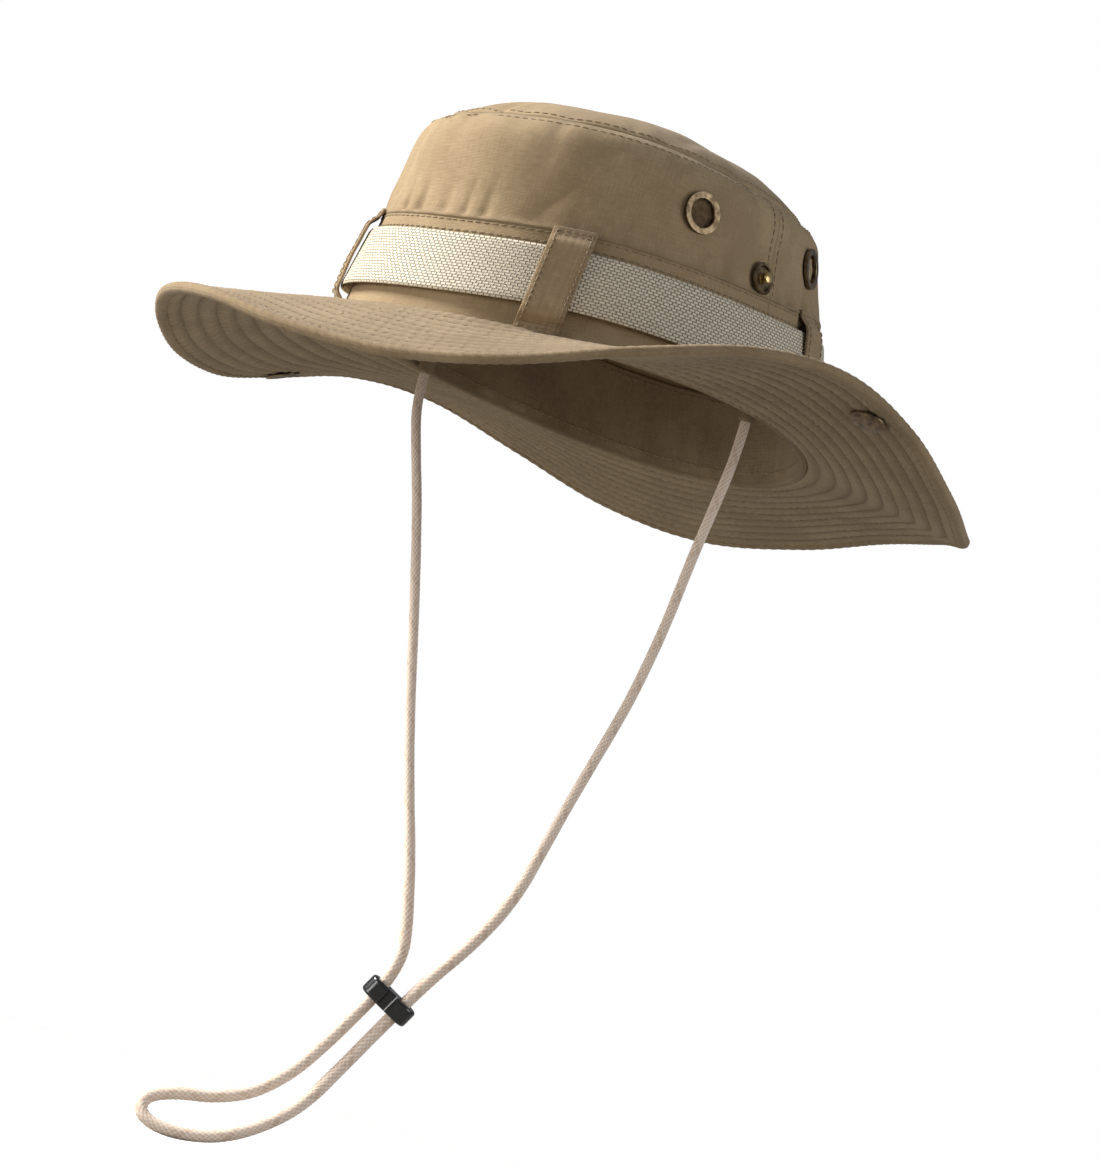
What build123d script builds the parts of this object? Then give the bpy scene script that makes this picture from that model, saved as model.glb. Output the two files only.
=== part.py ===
from build123d import *
import os
from math import cos, hypot, pi, radians, sin, tan

# Boonie hat, in millimetres. Front is -Y, the wearer's left is +X, up is +Z.
# The origin is the middle of the head opening, at the seam of crown and brim.
# Angles go round the hat from the front (0) by the wearer's left (90) to the back (180).

# Driving dimensions of the crown
HEAD_HALF_WIDTH = 78.2
HEAD_HALF_LENGTH = 101.0
TEMPLE_RISE = 5.0
FABRIC = 1.2
SIDE_LEVELS = (0, 0.25, 0.5, 0.7, 0.85, 1)
CROWN_BULGE = 0.02
# The shoulder, four fifths of the way up the side, swells out and up by these
SHOULDER_SCALE = 12.2
SHOULDER_OUT = 2.9
SHOULDER_UP = 0.8
# Dome of the top, and the shares of its width where its sections bend
CROWN_DOME = 10.7
DOME_POWER = 4.6
TOP_SHARES = (1.0, 0.92, 0.8, 0.6, 0.35, 0.08)
# Heights of the two seams that go round the slumped crown, every 45 degrees from the front
BAND_SEAM_HEIGHT = (36.3, 41.4, 45.8, 54.0, 61.0, 58.5, 49.5, 40.0)
TIP_SEAM_HEIGHT = (77.4, 80.8, 81.3, 84.4, 91.3, 93.0, 86.3, 77.8)
# Sizes of the same seams, as shares of the head opening
BAND_SEAM_RING = (0.925, 0.903, 0.888, 0.889, 0.905, 0.927, 0.942, 0.941)
TIP_SEAM_RING = (0.825, 0.795, 0.736, 0.727, 0.745, 0.79, 0.835, 0.844)
# Height of the crown's cut bottom edge below the head opening
CROWN_TUCK = 1.6

# Room left between sewn layers that curve together
SEAM_GAP = 0.4

# Sweatband
SWEATBAND = 1.2
SWEATBAND_HEIGHT = 30.0

# Webbing hat band
WEBBING = 1.4
WEBBING_WIDTH = 22.5
WEBBING_DROP = 6.6
WEBBING_STANDOFF_LOW = 2.2
WEBBING_STANDOFF_HIGH = 0.8

# Belt loops
LOOP_WIDTH = 16.0
LOOP_THICK = 1.2
LOOP_STANDOFF = 5.2
LOOP_FOOT = 2.4
LOOP_REACH = 41.0
LOOP_LOW = 0.07
LOOP_HIGH = 1.04
LOOP_SINK = 0.4
LOOP_ANGLES = {
    "loop_front_left": 33.0,
    "loop_side_left": 109.0,
    "loop_back": 181.0,
    "loop_side_right": 251.0,
    "loop_front_right": 320.0,
}

# Brim
BRIM_WIDTH = 62.0
BRIM_ROOT = 0.7
BRIM_STIFFENER = 1.0
BRIM_SKIN = 0.75
LAYER_GAP = 0.05
# Slope of the brim in degrees, up outwards, every 15 degrees from the front
BRIM_SLOPE = (
    -22.6, -25.4, -19.6, -7.3, 4.0, 6.9, 0.7, -8.6, -12.4, -8.5, -2.2, -1.2,
    -6.7, -11.8, -9.4, -0.8, 5.0, 0.9, -10.9, -20.9, -22.1, -17.0, -13.3, -16.1,
)
BINDING_WIDTH = 1.6
BINDING_THICK = 3.8

# Folds of the brim's sides
FOLD_X = 84.0
FOLD_GAP = 0.4

# Screened vents
VENT_ANGLES = {"left_front": 63.0, "left_back": 111.0, "right_front": 297.0, "right_back": 249.0}
VENT_LEVEL = 0.5
VENT_OUTER = 7.3
VENT_BORE = 4.9
VENT_BARREL = 0.6
VENT_FLANGE = 1.1
WASHER_OUTER = 7.0
WASHER_THICK = 0.8
SCREEN_THICK = 0.4
SEAT_GAP = 0.35
SEAT_RISE = 0.45

# Side snaps
SNAP_ANGLES = {"left": 86.0, "right": 274.0}
STUD_LEVEL = 0.16
STUD_OUTER = 5.6
STUD_FLANGE = 1.0
STUD_POST = 2.3
STUD_POST_HEIGHT = 2.6
STUD_SHANK = 1.6
STUD_BACK_OUTER = 5.0
SNAP_RADIUS = 52.0
SOCKET_OUTER = 5.5
SOCKET_THICK = 2.0
SOCKET_CLEARANCE = 0.4
SOCKET_GAP = 0.5
CAP_OUTER = 6.8
CAP_THICK = 0.9

# Chin cord
CORD_DIAMETER = 4.6
TACK_SIZE = (4.0, 6.0, 8.0)
# The cord's route from the wearer's left temple, down, through the slider, round the loop
# and back up to the right temple.
CORD_ROUTE = [
    (72.2, 3.0, 2.0), (72.2, 3.0, -10.0), (69.4, 3.0, -29.0), (65.8, 3.0, -51.0),
    (63.0, 3.0, -76.0), (57.2, 3.0, -103.0), (48.0, 3.0, -130.0), (40.0, 3.5, -155.0),
    (33.0, 4.0, -177.0), (19.5, 5.5, -196.0), (1.8, 7.8, -213.8), (-16.6, 0.5, -248.6),
    (-20.5, -9.5, -265.0), (-27.0, -17.5, -275.0), (-36.5, -27.0, -283.2), (-46.0, -36.0, -286.3),
    (-55.0, -43.0, -286.0), (-61.5, -45.5, -282.5), (-62.5, -42.0, -276.5), (-55.0, -35.0, -272.8),
    (-46.0, -26.5, -271.0), (-37.0, -18.5, -266.0), (-29.5, -11.5, -257.0), (-22.2, -4.3, -242.3),
    (-5.1, 2.5, -210.0), (-9.5, 3.0, -191.0), (-17.0, 3.0, -168.0), (-25.6, 3.0, -146.0),
    (-35.2, 3.0, -118.0), (-46.0, 3.0, -83.0), (-57.5, 3.0, -48.0), (-67.0, 3.0, -24.0),
    (-72.2, 3.0, -9.0), (-72.2, 3.0, 2.0),
]

# Slider on the two limbs of the cord
SLIDER_CENTRE = (-7.0, 3.0, -222.0)
SLIDER_TRAVEL_DIRECTION = (-0.46, -0.183, -0.869)
SLIDER_LONG_DIRECTION = (0.688, 0.545, -0.479)
SLIDER_LENGTH = 20.0
SLIDER_WIDTH = 9.6
SLIDER_THICK = 7.0
SLIDER_HOLE_SPACING = 9.5
SLIDER_HOLE = 5.5
SLIDER_EDGE = 1.2
SLIDER_NOTCH = 2.6

SECTION_STEP = 15


def around(values, angle):
    """Value at an angle, on a smooth curve through values spaced evenly round the hat."""
    count = len(values)
    place = angle / (360 / count)
    first = int(place // 1)
    part = place - first
    before, low, high, after = (values[(first + shift) % count] for shift in (-1, 0, 1, 2))
    rise = (high - before) / 2
    next_rise = (after - low) / 2
    bend = 3 * (high - low) - 2 * rise - next_rise
    twist = rise + next_rise - 2 * (high - low)
    return low + part * (rise + part * (bend + part * twist))


def outward(angle):
    """Level direction that points away from the head opening's edge."""
    across = sin(radians(angle)) / HEAD_HALF_WIDTH
    along = -cos(radians(angle)) / HEAD_HALF_LENGTH
    length = hypot(across, along)
    return Vector(across / length, along / length, 0)


def ring_point(angle, share, height):
    return Vector(
        HEAD_HALF_WIDTH * share * sin(radians(angle)),
        -HEAD_HALF_LENGTH * share * cos(radians(angle)),
        height,
    )


def opening_point(angle):
    return ring_point(angle, 1.0, TEMPLE_RISE * sin(radians(angle)) ** 2)


def band_seam_point(angle):
    return ring_point(angle, around(BAND_SEAM_RING, angle), around(BAND_SEAM_HEIGHT, angle))


def tip_seam_point(angle):
    return ring_point(angle, around(TIP_SEAM_RING, angle), around(TIP_SEAM_HEIGHT, angle))


def band_point(angle, level, out=0.0):
    """Point of the lower band, from the opening (level 0) up to the band seam (level 1)."""
    low = opening_point(angle)
    return low + (band_seam_point(angle) - low) * level + outward(angle) * out


def side_point(angle, level, out=0.0):
    """Point of the crown's side, from the band seam (level 0) up to the tip seam (level 1)."""
    low = band_seam_point(angle)
    point = low + (tip_seam_point(angle) - low) * level
    bulge = 1 + CROWN_BULGE * sin(pi * level)
    shoulder = SHOULDER_SCALE * level ** 4 * (1 - level)
    point = Vector(point.X * bulge, point.Y * bulge, point.Z + SHOULDER_UP * shoulder)
    return point + outward(angle) * (out + SHOULDER_OUT * shoulder)


def brim_point(angle, out, up=0.0):
    """Point of the brim, this far out from the opening and this far above its middle."""
    slope = radians(around(BRIM_SLOPE, angle))
    direction = outward(angle)
    point = opening_point(angle) + direction * (out * cos(slope) - up * sin(slope))
    return point + Vector(0, 0, out * sin(slope) + up * cos(slope))


def lofted(section, start, end):
    """Solid through the radial sections from one angle to another."""
    count = round((end - start) / SECTION_STEP)
    outlines = []
    for index in range(count + 1):
        angle = start + (end - start) * index / count
        outlines.append(Wire.make_polygon(section(angle), close=True))
    return Solid.make_loft(outlines)


def full_ring(section):
    front = lofted(section, -90, 90)
    back = lofted(section, 90, 270)
    return front.fuse(back)


def wall_section(point, levels, thick):
    """Section of a wall through points at these levels."""
    def section(angle):
        outer = [point(angle, level) for level in levels]
        inner = [point(angle, level, -thick) for level in reversed(levels)]
        return outer + inner
    return section


def lower_band_section(angle):
    tuck = Vector(0, 0, -CROWN_TUCK)
    return [
        band_point(angle, 0) + tuck,
        band_point(angle, 1),
        band_point(angle, 1, -FABRIC),
        band_point(angle, 0, -FABRIC) + tuck,
    ]


def band_level(angle, drop):
    """Level of the lower band this far down from the band seam."""
    return 1 - drop / (band_seam_point(angle) - opening_point(angle)).length


def webbing_section(angle):
    """The webbing stands further off the crown at its lower edge."""
    high = band_level(angle, WEBBING_DROP)
    low = band_level(angle, WEBBING_DROP + WEBBING_WIDTH)
    return [
        band_point(angle, low, WEBBING + WEBBING_STANDOFF_LOW),
        band_point(angle, high, WEBBING + WEBBING_STANDOFF_HIGH),
        band_point(angle, high, WEBBING_STANDOFF_HIGH),
        band_point(angle, low, WEBBING_STANDOFF_LOW),
    ]


def sweatband_section(angle):
    out = -FABRIC - SEAM_GAP
    share = SWEATBAND_HEIGHT / band_seam_point(angle).Z
    return [
        band_point(angle, 0, out),
        band_point(angle, share, out),
        band_point(angle, share, out - SWEATBAND),
        band_point(angle, 0, out - SWEATBAND),
    ]


def surface_plane(point, angle, level):
    """Plane on a wall: its Z is the outward normal, its Y runs up the wall."""
    small = 0.5
    step = 0.01
    across = point(angle + small, level) - point(angle - small, level)
    up = point(angle, level + step) - point(angle, level - step)
    return Plane(origin=point(angle, level), x_dir=across, z_dir=across.cross(up))


def brim_plane(angle, out):
    small = 0.5
    across = brim_point(angle + small, out) - brim_point(angle - small, out)
    along = brim_point(angle, out + small) - brim_point(angle, out - small)
    return Plane(origin=brim_point(angle, out), x_dir=across, z_dir=along.cross(across))


def disc(plane, low, high, outer, inner=0.0):
    """Disc or washer on a plane, from one height above it to another."""
    level = plane.offset(low)
    shape = Solid.make_cylinder(outer, high - low, level)
    if inner:
        shape = shape.cut(Solid.make_cylinder(inner, high - low, level))
    return shape


def whole(shape):
    """The one solid of a cut or fused shape."""
    solids = shape.solids()
    return max(solids, key=lambda solid: solid.volume)


def crown_top_section(angle):
    """From the tip seam in over the shoulder to the small middle disc."""
    rim = tip_seam_point(angle)
    middle = crown_middle()
    under = []
    for share in TOP_SHARES:
        point = middle + (rim - middle) * share
        under.append(point + Vector(0, 0, CROWN_DOME * (1 - share ** DOME_POWER)))
    inner = under[-1]
    under[-1] = Vector(inner.X, inner.Y, middle.Z + CROWN_DOME)
    over = [point + Vector(0, 0, FABRIC) for point in reversed(under)]
    return under + over


def crown_middle():
    rim = [tip_seam_point(angle) for angle in range(0, 360, SECTION_STEP)]
    total = Vector(0, 0, 0)
    for point in rim:
        total += point
    return total * (1 / len(rim))


def crown_top():
    middle = crown_middle() + Vector(0, 0, CROWN_DOME)
    button = Solid.make_cylinder(HEAD_HALF_LENGTH * TOP_SHARES[-1] * 1.06, FABRIC, Plane(middle))
    return whole(full_ring(crown_top_section).fuse(button))


def vent(angle):
    """Eyelet with its barrel, the washer inside and the screen across the bore."""
    plane = surface_plane(side_point, angle, VENT_LEVEL)
    depth = FABRIC + SEAT_GAP + WASHER_THICK
    barrel = VENT_BORE + VENT_BARREL
    ring = disc(plane, SEAT_RISE, SEAT_RISE + VENT_FLANGE, VENT_OUTER, VENT_BORE)
    circles = ring.edges().filter_by(GeomType.CIRCLE)
    top_edges = circles.sort_by_distance(plane.offset(SEAT_RISE + VENT_FLANGE).origin)[:2]
    ring = ring.fillet(VENT_FLANGE * 0.4, top_edges)
    ring = whole(ring.fuse(disc(plane, -depth, SEAT_RISE, barrel, VENT_BORE)))
    washer = disc(plane, -depth, WASHER_THICK - depth, WASHER_OUTER, barrel)
    screen = disc(plane, -SCREEN_THICK, 0, VENT_BORE)
    hole = disc(plane, -depth * 2, depth, barrel)
    return ring, washer, screen, hole


def snap_stud(angle):
    plane = surface_plane(side_point, angle, STUD_LEVEL)
    depth = FABRIC + SEAT_GAP
    face = SEAT_RISE + STUD_FLANGE
    stud = disc(plane, SEAT_RISE, face, STUD_OUTER)
    stud = stud.fuse(disc(plane, face, face + STUD_POST_HEIGHT, STUD_POST))
    stud = whole(stud.fuse(disc(plane, -depth, SEAT_RISE, STUD_SHANK)))
    back = disc(plane, -depth - WASHER_THICK, -depth, STUD_BACK_OUTER)
    hole = disc(plane, -depth * 2, depth, STUD_SHANK)
    return stud, back, hole


def snap_socket(angle):
    """Socket on the brim's upper face and cap on its lower face, joined by a shank."""
    plane = brim_plane(angle, SNAP_RADIUS)
    half = BRIM_STIFFENER / 2 + LAYER_GAP + BRIM_SKIN + SOCKET_GAP
    recess = STUD_POST + SOCKET_CLEARANCE
    socket = disc(plane, half, half + SOCKET_THICK, SOCKET_OUTER)
    socket = socket.cut(disc(plane, half + FABRIC / 2, half + SOCKET_THICK, recess))
    cap = disc(plane, -half - CAP_THICK, -half, CAP_OUTER)
    cap = whole(cap.fuse(disc(plane, -half, half, STUD_SHANK)))
    hole = disc(plane, -half * 2, half * 2, STUD_SHANK)
    return whole(socket), cap, hole


def belt_loop(angle, beneath):
    """Strip that bridges the webbing, with a foot sewn down at each end."""
    low = band_point(angle, max(LOOP_LOW, band_level(angle, LOOP_REACH)))
    high = band_point(angle, LOOP_HIGH)
    plane = surface_plane(band_point, angle, 0.5)
    plane = Plane(origin=(low + high) * 0.5, x_dir=plane.x_dir, z_dir=plane.z_dir)
    half = (high - low).length / 2
    rise = LOOP_STANDOFF + LOOP_THICK
    ramp = LOOP_STANDOFF * 0.6
    profile = [
        (-half, -LOOP_SINK), (-half, LOOP_THICK), (-half + LOOP_FOOT, LOOP_THICK),
        (-half + LOOP_FOOT + ramp, rise), (half - LOOP_FOOT - ramp, rise),
        (half - LOOP_FOOT, LOOP_THICK), (half, LOOP_THICK), (half, -LOOP_SINK),
        (half - LOOP_FOOT - LOOP_THICK, -LOOP_SINK), (half - LOOP_FOOT - LOOP_THICK - ramp, LOOP_STANDOFF),
        (-half + LOOP_FOOT + LOOP_THICK + ramp, LOOP_STANDOFF), (-half + LOOP_FOOT + LOOP_THICK, -LOOP_SINK),
    ]
    corners = [
        plane.origin + plane.y_dir * along + plane.z_dir * out - plane.x_dir * (LOOP_WIDTH / 2)
        for along, out in profile
    ]
    face = Face(Wire.make_polygon(corners, close=True))
    strip = Solid.extrude(face, plane.x_dir * LOOP_WIDTH)
    for panel in beneath:
        strip = strip.cut(panel)
    return whole(strip)


def brim_layer(low, high, inner=BRIM_ROOT, outer=BRIM_WIDTH):
    """One layer of the whole brim, between two heights above its middle surface."""
    def section(angle):
        return [
            brim_point(angle, inner, low),
            brim_point(angle, outer, low),
            brim_point(angle, outer, high),
            brim_point(angle, inner, high),
        ]
    return full_ring(section)


def split_brim(layer):
    """The fixed ring between the two fold lines, and the side that folds beyond each."""
    reach = HEAD_HALF_LENGTH + BRIM_WIDTH * 2
    fixed_half = FOLD_X - FOLD_GAP / 2
    fold_half = FOLD_X + FOLD_GAP / 2
    middle = Solid.make_box(2 * fixed_half, 2 * reach, 2 * reach, Plane((-fixed_half, -reach, -reach)))
    left = Solid.make_box(reach, 2 * reach, 2 * reach, Plane((fold_half, -reach, -reach)))
    right = Solid.make_box(reach, 2 * reach, 2 * reach, Plane((-fold_half - reach, -reach, -reach)))
    return [whole(layer.intersect(box)) for box in (middle, left, right)]


def cord_tube():
    """Tube along straight runs joined by arcs as large as the runs allow."""
    route = [Vector(*point) for point in CORD_ROUTE]
    runs = [(after - before).length for before, after in zip(route, route[1:])]
    radii = []
    for index in range(1, len(route) - 1):
        turn = (route[index] - route[index - 1]).get_angle(route[index + 1] - route[index])
        radii.append(0.45 * min(runs[index - 1], runs[index]) / tan(radians(turn / 2)))
    path = FilletPolyline(*route, radius=radii)
    start = Plane(origin=route[0], z_dir=route[1] - route[0])
    section = start * Circle(CORD_DIAMETER / 2)
    tube = sweep(section, path=path)
    length = path.length
    print("cord radii", [round(radius, 1) for radius in radii])
    print("cord length", round(length, 1), "volume share", tube.volume / (length * pi * CORD_DIAMETER ** 2 / 4))
    return tube


def slider():
    """Two-hole bar: the cord's limbs pass through it side by side."""
    along = Vector(*SLIDER_LONG_DIRECTION)
    through = Vector(*SLIDER_TRAVEL_DIRECTION)
    plane = Plane(origin=SLIDER_CENTRE, x_dir=along, z_dir=through)
    blank = plane.offset(-SLIDER_THICK / 2) * SlotOverall(SLIDER_LENGTH, SLIDER_WIDTH)
    bar = extrude(blank, SLIDER_THICK)
    rims = [edge for edge in bar.edges() if abs(edge.tangent_at(0.5).dot(plane.z_dir)) < 0.1]
    bar = fillet(rims, SLIDER_EDGE)
    for side in (-1, 1):
        hole_centre = plane.origin + plane.x_dir * (side * SLIDER_HOLE_SPACING / 2)
        hole_plane = Plane(origin=hole_centre - plane.z_dir * SLIDER_THICK, z_dir=plane.z_dir)
        bar -= Solid.make_cylinder(SLIDER_HOLE / 2, 2 * SLIDER_THICK, hole_plane)
        notch_centre = plane.origin + plane.y_dir * (side * (SLIDER_WIDTH / 2 + SLIDER_NOTCH * 0.5))
        notch_plane = Plane(origin=notch_centre - plane.z_dir * SLIDER_THICK, z_dir=plane.z_dir)
        bar -= Solid.make_cylinder(SLIDER_NOTCH, 2 * SLIDER_THICK, notch_plane)
    return whole(bar)


def cord_tack(side):
    """Block of stitched cord end, on the inside of the sweatband at a temple."""
    width, length, height = TACK_SIZE
    end = Vector(*CORD_ROUTE[0 if side > 0 else -1])
    corner = end - Vector(width / 2, length / 2, 0)
    return Solid.make_box(width, length, height, Plane(corner))


def make_crown(parts):
    side_wall = wall_section(side_point, SIDE_LEVELS, FABRIC)
    parts["crown_side_front"] = lofted(side_wall, -90, 90)
    parts["crown_side_back"] = lofted(side_wall, 90, 270)
    parts["lower_band_front"] = lofted(lower_band_section, -90, 90)
    parts["lower_band_back"] = lofted(lower_band_section, 90, 270)
    parts["crown_top"] = crown_top()
    parts["sweatband"] = whole(full_ring(sweatband_section))
    parts["hat_band"] = whole(full_ring(webbing_section))


def make_loops(parts):
    beneath = [parts[name] for name in
               ("crown_side_front", "crown_side_back", "lower_band_front", "lower_band_back", "hat_band")]
    for name, angle in LOOP_ANGLES.items():
        parts[name] = belt_loop(angle, beneath)


def cut_crown(parts, hole):
    for name in ("crown_side_front", "crown_side_back"):
        parts[name] = whole(parts[name].cut(hole))


def make_vents(parts):
    for place, angle in VENT_ANGLES.items():
        ring, washer, screen, hole = vent(angle)
        parts["vent_ring_" + place] = ring
        parts["vent_washer_" + place] = washer
        parts["vent_screen_" + place] = screen
        cut_crown(parts, hole)


def make_snaps(parts):
    for side, angle in SNAP_ANGLES.items():
        stud, back, hole = snap_stud(angle)
        parts["snap_stud_" + side] = stud
        parts["snap_stud_back_" + side] = back
        cut_crown(parts, hole)
        socket, cap, brim_hole = snap_socket(angle)
        parts["snap_socket_" + side] = socket
        parts["snap_cap_" + side] = cap
        for layer in ("upper", "stiffener", "under"):
            name = side + "_flap_" + layer
            parts[name] = whole(parts[name].cut(brim_hole))


def make_brim(parts):
    middle = BRIM_STIFFENER / 2
    skin = middle + LAYER_GAP
    layers = {
        "stiffener": brim_layer(-middle, middle),
        "upper": brim_layer(skin, skin + BRIM_SKIN),
        "under": brim_layer(-skin - BRIM_SKIN, -skin),
        "binding": brim_layer(-BINDING_THICK / 2, BINDING_THICK / 2,
                              BRIM_WIDTH + SEAM_GAP, BRIM_WIDTH + SEAM_GAP + BINDING_WIDTH),
    }
    for name, layer in layers.items():
        fixed, left, right = split_brim(layer)
        parts["brim_" + name] = fixed
        parts["left_flap_" + name] = left
        parts["right_flap_" + name] = right


def make_cord(parts):
    parts["chin_cord"] = cord_tube()
    parts["cord_slider"] = slider()
    parts["cord_bartack_left"] = cord_tack(1)
    parts["cord_bartack_right"] = cord_tack(-1)


parts = {}
make_crown(parts)
make_loops(parts)
make_vents(parts)
make_brim(parts)
make_snaps(parts)
make_cord(parts)

os.makedirs("parts", exist_ok=True)
for name, shape in parts.items():
    export_step(shape, "parts/" + name + ".step")
print(len(parts), "parts")
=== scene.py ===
"""A khaki boonie hat with a webbing band, side snaps, screened vents and a braided chin cord."""
import math

import bmesh
import bpy
from mathutils import Matrix, Quaternion, Vector, noise


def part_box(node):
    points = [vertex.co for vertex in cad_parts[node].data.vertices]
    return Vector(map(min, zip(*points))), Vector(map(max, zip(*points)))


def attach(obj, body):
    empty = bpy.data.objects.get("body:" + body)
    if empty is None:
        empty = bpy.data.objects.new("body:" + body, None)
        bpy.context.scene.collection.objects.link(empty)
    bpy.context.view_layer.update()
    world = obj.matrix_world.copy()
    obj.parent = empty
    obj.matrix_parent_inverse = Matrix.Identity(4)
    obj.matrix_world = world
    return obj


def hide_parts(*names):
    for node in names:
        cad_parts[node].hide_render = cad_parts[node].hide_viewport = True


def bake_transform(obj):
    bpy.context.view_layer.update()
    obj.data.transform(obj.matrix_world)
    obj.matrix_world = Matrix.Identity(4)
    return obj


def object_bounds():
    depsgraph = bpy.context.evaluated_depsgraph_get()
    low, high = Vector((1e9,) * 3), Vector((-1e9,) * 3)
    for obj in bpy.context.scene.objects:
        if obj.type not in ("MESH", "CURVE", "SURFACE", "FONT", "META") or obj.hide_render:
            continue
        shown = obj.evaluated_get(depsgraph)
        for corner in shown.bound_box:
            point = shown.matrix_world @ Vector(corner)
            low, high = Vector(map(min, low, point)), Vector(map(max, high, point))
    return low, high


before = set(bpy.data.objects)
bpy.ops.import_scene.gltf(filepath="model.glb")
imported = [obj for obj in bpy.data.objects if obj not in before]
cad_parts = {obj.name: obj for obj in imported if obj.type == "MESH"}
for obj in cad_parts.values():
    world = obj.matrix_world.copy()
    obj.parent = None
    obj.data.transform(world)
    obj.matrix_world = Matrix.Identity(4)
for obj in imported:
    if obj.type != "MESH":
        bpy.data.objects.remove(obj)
cad_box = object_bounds()
scene = bpy.context.scene
mm = 0.001

# ---------------------------------------------------------------- Studio
# The hat hangs above a pale floor, its chin cord just touching it. A large soft light stands high
# on the left, weaker ones stand on the right and low in front, and pale air fills in all round.
CAMERA_PLACE = Vector((0.90418, -1.17019, -0.25748))
CAMERA_AIM = Vector((0.00105, 0.01496, -0.06432))
CAMERA_ROLL = math.radians(16.17)
CAMERA_LENS = 130.1
SENSOR = 36
FLOOR_RADIUS = 6.0
FLOOR_DROP = 0.4 * mm
AIR = (0.93, 0.95, 1.0, 1)
AIR_STRENGTH = 0.23
KEY_PLACE = Vector((-1.45, -0.86, 1.15))
KEY_SIZE = 0.9
KEY_POWER = 82
FILL_PLACE = Vector((1.7, 0.5, 0.2))
FILL_SIZE = 1.2
FILL_POWER = 12
LOW_PLACE = Vector((-0.7, -1.5, -0.12))
LOW_SIZE = 0.8
LOW_POWER = 14

camera_data = bpy.data.cameras.new("camera")
camera_data.sensor_width = SENSOR
camera_data.lens = CAMERA_LENS
camera = bpy.data.objects.new("camera", camera_data)
camera.location = CAMERA_PLACE
camera.rotation_mode = "QUATERNION"
facing = (CAMERA_AIM - CAMERA_PLACE).to_track_quat("-Z", "Y")
camera.rotation_quaternion = facing @ Quaternion((0, 0, 1), CAMERA_ROLL)
scene.collection.objects.link(camera)
scene.camera = camera
scene.view_settings.view_transform = "Standard"
scene.view_settings.look = "None"


def soft_light(name, place, size, power, tint):
    lamp = bpy.data.lights.new(name, "AREA")
    lamp.shape = "DISK"
    lamp.size = size
    lamp.energy = power
    lamp.color = tint
    holder = bpy.data.objects.new(name, lamp)
    holder.location = place
    holder.rotation_mode = "QUATERNION"
    holder.rotation_quaternion = (CAMERA_AIM * 0.5 - place).to_track_quat("-Z", "Y")
    scene.collection.objects.link(holder)


soft_light("key_light", KEY_PLACE, KEY_SIZE, KEY_POWER, (1.0, 0.975, 0.94))
soft_light("fill_light", FILL_PLACE, FILL_SIZE, FILL_POWER, (0.95, 0.97, 1.0))
soft_light("low_light", LOW_PLACE, LOW_SIZE, LOW_POWER, (1.0, 0.98, 0.95))

air = bpy.data.worlds.new("air")
air.use_nodes = True
air_tree = air.node_tree
air_tree.nodes.clear()
air_out = air_tree.nodes.new("ShaderNodeOutputWorld")
air_light = air_tree.nodes.new("ShaderNodeBackground")
air_light.inputs["Color"].default_value = AIR
air_light.inputs["Strength"].default_value = AIR_STRENGTH
backdrop = air_tree.nodes.new("ShaderNodeBackground")
backdrop.inputs["Color"].default_value = (1, 1, 1, 1)
backdrop.inputs["Strength"].default_value = 1.0
seen = air_tree.nodes.new("ShaderNodeLightPath")
either = air_tree.nodes.new("ShaderNodeMixShader")
air_tree.links.new(seen.outputs["Is Camera Ray"], either.inputs["Fac"])
air_tree.links.new(air_light.outputs["Background"], either.inputs[1])
air_tree.links.new(backdrop.outputs["Background"], either.inputs[2])
air_tree.links.new(either.outputs["Shader"], air_out.inputs["Surface"])
scene.world = air


def new_material(name):
    material = bpy.data.materials.new(name)
    material.use_nodes = True
    nodes = material.node_tree.nodes
    return material, nodes, material.node_tree.links, nodes["Principled BSDF"]


def keep(bm, name, material, smooth=True):
    """The finished shape as an object at the origin."""
    mesh = bpy.data.meshes.new(name)
    bm.to_mesh(mesh)
    bm.free()
    if smooth:
        mesh.shade_smooth()
    mesh.materials.append(material)
    piece = bpy.data.objects.new(name, mesh)
    scene.collection.objects.link(piece)
    return piece


floor_paint, floor_nodes, floor_links, floor_shader = new_material("floor_paint")
floor_shader.inputs["Base Color"].default_value = (0.30, 0.29, 0.27, 1)
floor_shader.inputs["Roughness"].default_value = 0.9
floor_shader.inputs["Specular IOR Level"].default_value = 0.0
floor_glow = floor_nodes.new("ShaderNodeEmission")
floor_glow.inputs["Strength"].default_value = 0.92
floor_seen = floor_nodes.new("ShaderNodeLightPath")
floor_sum = floor_nodes.new("ShaderNodeAddShader")
floor_mix = floor_nodes.new("ShaderNodeMixShader")
floor_links.new(floor_shader.outputs["BSDF"], floor_sum.inputs[0])
floor_links.new(floor_glow.outputs["Emission"], floor_sum.inputs[1])
floor_links.new(floor_seen.outputs["Is Camera Ray"], floor_mix.inputs["Fac"])
floor_links.new(floor_shader.outputs["BSDF"], floor_mix.inputs[1])
floor_links.new(floor_sum.outputs["Shader"], floor_mix.inputs[2])
floor_links.new(floor_mix.outputs["Shader"], floor_nodes["Material Output"].inputs["Surface"])
floor_bm = bmesh.new()
bmesh.ops.create_circle(floor_bm, cap_ends=True, segments=96, radius=FLOOR_RADIUS)
bmesh.ops.translate(floor_bm, verts=floor_bm.verts, vec=(0, 0, cad_box[0].z - FLOOR_DROP))
keep(floor_bm, "floor", floor_paint, smooth=False)

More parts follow.
